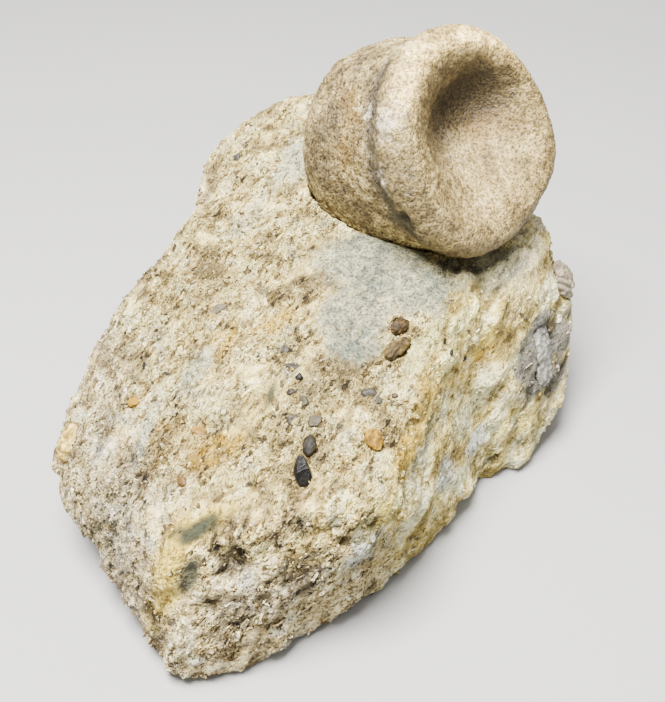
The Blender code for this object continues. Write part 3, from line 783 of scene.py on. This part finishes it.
def roughen_bone(mesh):
    """Sugary grain and pores, the groove behind the rim, wrinkles, a knob and a small crack on the rim."""
    points, normals = points_of(mesh), normals_of(mesh)
    across, up, behind, radius, angle = on_bone(points)
    in_cup = (radius < 0.80 * RIM_RADIUS) & (behind < 0.42 * RIM_RADIUS)
    lip = (behind < 0.34 * RIM_RADIUS) * (radius > 0.62 * RIM_RADIUS)
    body = eased(behind, 0.28 * RIM_RADIUS, 0.44 * RIM_RADIUS)
    facing_left = eased(-across / RIM_RADIUS, -0.3, 0.5) * eased(up / RIM_RADIUS, -0.75, -0.4)
    wander = 2.2 * noise_at(points, 9.0) + 1.2 * noise_at(points, 3.0, 2.0)
    groove = near(behind + wander, GROOVE_BEHIND, GROOVE_WIDTH) * facing_left
    heights, margins = cells_at(points, 1.5, 9.0)
    pits, pit_margins = cells_at(points, 3.6, 2.0)
    pores = (pits > 0.38) * eased(pit_margins, 0.25, 0.6) * (1 - in_cup)
    height = 0.10 * heights - 0.10 * (1 - eased(margins, 0.0, 0.25)) + 0.10 * noise_at(points, 0.9, 1.0)
    height += (0.12 + 0.25 * body + 0.22 * lip) * noise_at(points, 3.2, 6.0) + 0.4 * body * noise_at(points, 7.0)
    height -= 0.35 * pores + GROOVE_DEPTH * groove
    wrinkles = noise_at(np.stack([angle / 4.5, behind / 4.5, radius / 6.0], axis=1), 1.0, 3.0)
    wrinkled = near(behind, 0.20 * RIM_RADIUS, 6.0) * facing_left
    fibres = noise_at(np.stack([angle / 1.8, behind / 10.0, radius / 9.0], axis=1), 1.0, 5.0)
    height += (0.6 * wrinkles + 0.5 * noise_at(points, 2.6, 5.0)) * wrinkled + 0.12 * fibres * body
    on_rim = behind < 0.3 * RIM_RADIUS
    knob = 1 - eased(np.hypot(across + 19.4, up - 26.7), 0.6, 2.2)
    crack = (1 - eased(np.abs(across + 34 + 0.35 * (up + 14)), 0.2, 0.9)) * (np.abs(up + 13.5) < 4.5)
    height += (KNOB_HEIGHT * knob - CRACK_DEPTH * crack) * on_rim
    # The floor of the cup: a bowl pressed in above, a flatter slope below, with a pinch between the two
    bowl = near(np.hypot((across - 9.0) / 1.4, up - 10.0), 0.0, 10.0) * in_cup
    pinch = near(np.hypot(across + 2.0, up - 3.5), 0.0, 3.6) * in_cup
    left_wall = near(across, -14.5, 3.2) * near(up, -1.0, 13.0) * in_cup
    floor = near(np.hypot((across + 1.0) / 1.3, up + 13.0), 0.0, 9.0) * in_cup
    height += 0.8 * floor - BOWL_DEPTH * bowl - 1.0 * pinch - 0.7 * left_wall
    tone_noise = 0.5 * noise_at(points, 9.0, 2.0) + 0.45 * noise_at(points, 3.0, 4.0) + 0.35 * noise_at(points, 1.2)
    tone = toned(tone_noise, RIM_TONES)
    # Painted shade: the body's tones run darker on its side that faces left
    tint(tone, toned(tone_noise - 0.25 * facing_left, BODY_TONES), np.maximum(body, 0.35 * wrinkled))
    ragged = 0.18 * noise_at(points, 4.0, 7.0) + 0.10 * noise_at(points, 1.5, 8.0)
    away = np.hypot((across - 10.0) / 19.0, (up - 10.0) / 12.5) + ragged
    shade_and_dirt = 0.95 * (1 - eased(away, 0.45, 1.05)) * in_cup
    rusty = 0.6 * near(np.hypot((across - 12.0) / 10.0, up / 4.0), 0.0, 1.0) * in_cup
    underside_shade = eased(-normals[:, 2], -0.05, 0.75) * (behind < 1.4 * RIM_RADIUS)
    # Painted shade and dirt in the cup's upper bowl, and painted shade in the pinch, the left wall's crease, under
    # the lip and in the crack; the bowl's rust and the grey groove are the bone's own colours
    for share, colour in (
        (shade_and_dirt, BOWL_SHADE_AND_DIRT), (0.8 * pinch, BOWL_SHADE_AND_DIRT), (0.35 * left_wall, BOWL_SHADE_AND_DIRT), (rusty, BOWL_RUST),
        (0.75 * groove * (1 - eased(-ragged, 0.05, 0.2)), GROOVE_GREY), (0.6 * underside_shade * (1 - body), BOWL_SHADE_AND_DIRT),
        (0.7 * crack * on_rim, BOWL_SHADE_AND_DIRT),
    ):
        tint(tone, colour, share)
    streaky = 0.4 * fibres + 0.7 * noise_at(points, 2.6, 9.0) + 0.4 * noise_at(points, 1.1, 10.0)
    for *middle, reach, colour, strength in BONE_MARKS:
        away = np.linalg.norm(np.stack([across, up, behind], axis=1) - middle, axis=1) / reach + streaky
        tint(tone, colour, strength * (1 - eased(away, 0.3, 1.1)))
    # Painted light: a highlight along the rim's upper crest, shade in the low spots outside the cup and on the lower
    # left of the rim, and light on the lower body
    crest = near(behind, 0.02 * RIM_RADIUS, 4.5) * eased(radius, 0.66 * RIM_RADIUS, 0.80 * RIM_RADIUS)
    shade = 1 + 1.2 * crest * eased(up, 5, 25) - 0.45 * eased(-height, 0.15, 0.8) * (1 - in_cup)
    shade *= 1 - 0.38 * facing_left * (1 - body) * (1 - in_cup) * eased(-up, -24, -14)
    shade *= 1 + 1.5 * body * eased(-up, 6, 22)
    tone *= shade[:, None]
    set_points(mesh, points + normals * height[:, None])
    set_weights(mesh, "tone", *tone.T)
    set_weights(mesh, "ground", np.clip(0.85 + 0.15 * body, 0, 1))


def fossil_bone():
    """Phosphatised bone: fine sugary grains, lighter and darker, with small dark pores and a faint glint."""
    made, tree, shader = finish_of("phosphatised bone", 0.58, 0.4)
    place = add(tree, "TexCoord").outputs["Object"]
    tone = stored(tree, "tone")
    coarse = add(tree, "SeparateColor", {"Color": stored(tree, "ground")}).outputs[0]
    sugar, lumps = cloudy(tree, place, SUGAR_SIZE, 1.5, 0.55), cloudy(tree, place, SUGAR_LUMP, 3.0, 0.65)
    lumpy = add(tree, "Math", {0: coarse, 1: 0.45}, operation="MULTIPLY").outputs[0]
    height = add(tree, "Mix", {FACTOR: lumpy, LOW: sugar, HIGH: lumps}).outputs[0]
    pores = add(tree, "TexVoronoi", {"Vector": place, "Scale": 1000 / PORE_SIZE}).outputs["Distance"]
    pores = add(
        tree, "MapRange",
        {"Value": pores, "From Min": 0.08, "From Max": 0.26, "To Min": -0.12, "To Max": 0.0}).outputs[0]
    height = add(tree, "Math", {0: height, 1: pores}, operation="ADD").outputs[0]
    shade = add(
        tree, "ValToRGB", {"Fac": height},
        stops=((0.34, "#4f452f"), (0.43, "#9c8f71"), (0.50, "#e2dac6"), (0.56, "#ffffff")))
    tree.links.new(times(tree, tone, shade.outputs[0], coarse), shader.inputs["Base Color"])
    relief = add(tree, "Bump", {"Height": height, "Strength": coarse, "Distance": BONE_RELIEF * MM})
    tree.links.new(relief.outputs[0], shader.inputs["Normal"])
    return made


vertebra = merged_copy("vertebra", "fossil_vertebra")
even_skin(vertebra, BONE_GRID, BONE_RUBBING)
roughen_bone(vertebra.data)
ride_and_finish(vertebra, fossil_bone(), "fossil_bone", "vertebra")


# ---------------------------------------------------------------- pieces set in the rock
# Worn things that the sea left in the sand: a black tooth, phosphate pebbles and nodules, a plate of grey bone,
# a buff lump and a ribbed shell. Each sits in the hollow that the rock keeps of it.

# node, slot, what it is made of, its grid, roughness, specular, tones from dark to light, mottling and lump height
SET_PIECES = (
    ("black_tooth", "black_tooth", "tooth enamel", 0.22, 0.34, 0.22, ("#030303", "#090908", "#201f1e"), 3.0, 0.10),
    ("dark_pebble", "dark_pebble", "dark phosphate", 0.20, 0.50, 0.3, ("#0c0a07", "#17130d", "#2b2418"), 2.0, 0.15),
    ("brown_nodule", "brown_nodule", "brown phosphate", 0.22, 0.65, 0.3, ("#1b1305", "#3f3012", "#7c6632"), 1.6, 0.6),
    ("small_brown_nodule", "brown_nodule", "rusty phosphate", 0.20, 0.65, 0.3, ("#140d03", "#2e1f08", "#584014"), 1.5,
     0.6),
    ("ochre_nodule", "ochre_nodule", "limonite", 0.20, 0.75, 0.3, ("#422a00", "#684a00", "#a07c24"), 1.7, 0.4),
    ("buff_clast", "buff_clast", "marly limestone", 0.35, 0.85, 0.25, ("#5f4c20", "#a58a44", "#dec474"), 1.5, 0.9),
    ("bone_plate", "bone_plate", "grey fossil bone", 0.40, 0.65, 0.35, ("#373632", "#66635b", "#a5a196"), 1.6, 0.45),
    ("ribbed_shell", "ribbed_shell", "ribbed shell", 0.30, 0.60, 0.35, ("#4a4236", "#766b58", "#a89d87"), 1.6, 0.3),
)
# Flats worn on the tooth: each faces that way, that far from the tooth's middle
TOOTH_FLATS = (
    ((-0.25, -0.12, 0.96), 1.8), ((0.12, -0.86, 0.50), 1.4), ((-0.85, -0.10, 0.50), 2.2), ((0.85, 0.15, 0.50), 2.1),
)
TOOTH_TIP_LIFT = np.array((-0.6, 0.2, 1.6))  # how its far end stands clear of the rock
SHELL_RIBS, RIB_HEIGHT = 9, 0.8
SET_RUBBING = 8


def set_piece_material(name, roughness, specular, tones, mottle_size):
    """Worn phosphate, enamel or shell, mottled from its dark to its light tone along the beds."""
    made, tree, shader = finish_of(name, roughness, specular)
    place = add(tree, "TexCoord").outputs["Object"]
    lie = add(tree, "Mapping", {"Vector": place, **BED_LIE}, vector_type="TEXTURE").outputs[0]
    cloud = cloudy(tree, lie, mottle_size, 6.0, 0.7)
    colour = add(tree, "ValToRGB", {"Fac": cloud}, stops=tuple(zip((0.34, 0.50, 0.64), tones)))
    tree.links.new(colour.outputs[0], shader.inputs["Base Color"])
    relief = add(tree, "Bump", {"Height": cloud, "Strength": 1.0, "Distance": 0.7 * MM})
    tree.links.new(relief.outputs[0], shader.inputs["Normal"])
    return made


for node, slot, stuff, grid, roughness, specular, tones, mottle_size, lump in SET_PIECES:
    piece = merged_copy(node, "worn_" + node)
    even_skin(piece, grid, SET_RUBBING)
    points, normals = points_of(piece.data), normals_of(piece.data)
    height = lump * (noise_at(points, 2.2, 1.0) + 0.5 * noise_at(points, 1.0, 2.0))
    middle = points.mean(axis=0)
    if node == "ribbed_shell":
        away = points - middle
        around = np.arctan2(away[:, 2] + 0.4 * away[:, 0] - 5.0, away[:, 1] + 9.0)
        height += RIB_HEIGHT * np.abs(np.sin(around * SHELL_RIBS)) - 0.4 * RIB_HEIGHT
    points += normals * height[:, None]
    if node == "black_tooth":
        points += eased(points[:, 1], middle[1] - 3.5, middle[1] + 4.5)[:, None] * TOOTH_TIP_LIFT
        for way, distance in TOOTH_FLATS:
            way = np.array(way) / np.linalg.norm(way)
            points -= np.outer(np.clip((points - middle) @ way - distance, 0, None), way)
    set_points(piece.data, points)
    ride_and_finish(piece, set_piece_material(stuff, roughness, specular, tones, mottle_size), slot, node)


# ---------------------------------------------------------------- floor, light and camera
# A plain pale floor, soft light from above and the left, and the camera that looks down at the block.

FLOOR_REACH = 3.0  # metres, as are the places and sizes below
FLOOR_TONE = "#9b9a98"
# The camera's focal length in pixels of a frame that is this many pixels high, and how far down it looks
FOCAL_PIXELS, FRAME_PIXELS, LOOKS_DOWN = 1150, 702, 40


def stage_floor():
    bm = bmesh.new()
    bmesh.ops.create_grid(bm, x_segments=1, y_segments=1, size=FLOOR_REACH)
    mesh = bpy.data.meshes.new("floor")
    bm.to_mesh(mesh)
    bm.free()
    floor = in_scene("floor", mesh)
    made, _, shader = finish_of("pale paper", 0.9, 0.2)
    shader.inputs["Base Color"].default_value = linear(FLOOR_TONE)
    mesh.materials.append(made)


def soft_light(name, place, aim, size, watts, colour):
    lamp = bpy.data.lights.new(name, "AREA")
    lamp.size = size
    lamp.energy = watts
    lamp.color = linear(colour)[:3]
    holder = in_scene(name, lamp)
    holder.location = place
    holder.rotation_euler = (Vector(aim) - Vector(place)).to_track_quat("-Z", "Y").to_euler()


def surroundings(strength):
    """A soft room that is bright overhead and dim near the floor."""
    world = bpy.data.worlds.new("soft room")
    world.use_nodes = True
    tree = world.node_tree
    way = add(tree, "SeparateXYZ", {0: add(tree, "TexCoord").outputs["Generated"]})
    sky = add(
        tree, "ValToRGB", {"Fac": way.outputs[2]},
        stops=((0.0, "#40403f"), (0.35, "#8d8e90"), (0.8, "#fbfcff"), (1.0, "#ffffff")))
    background = tree.nodes["Background"]
    tree.links.new(sky.outputs[0], background.inputs["Color"])
    background.inputs["Strength"].default_value = strength
    bpy.context.scene.world = world


def camera():
    """Looks along +Y and down at the block."""
    lens = bpy.data.cameras.new("camera")
    lens.sensor_width = 36.0
    lens.lens = lens.sensor_width * FOCAL_PIXELS / FRAME_PIXELS
    lens.clip_start = 0.01
    holder = in_scene("camera", lens)
    holder.location = (0, -0.290, 0.289)
    holder.rotation_euler = (math.radians(90 - LOOKS_DOWN), 0, 0)
    bpy.context.scene.camera = holder


stage_floor()
soft_light("overhead", (-0.12, -0.16, 0.78), (0, 0, 0.06), 0.36, 48.0, "#fdfcfa")
surroundings(1.35)
camera()
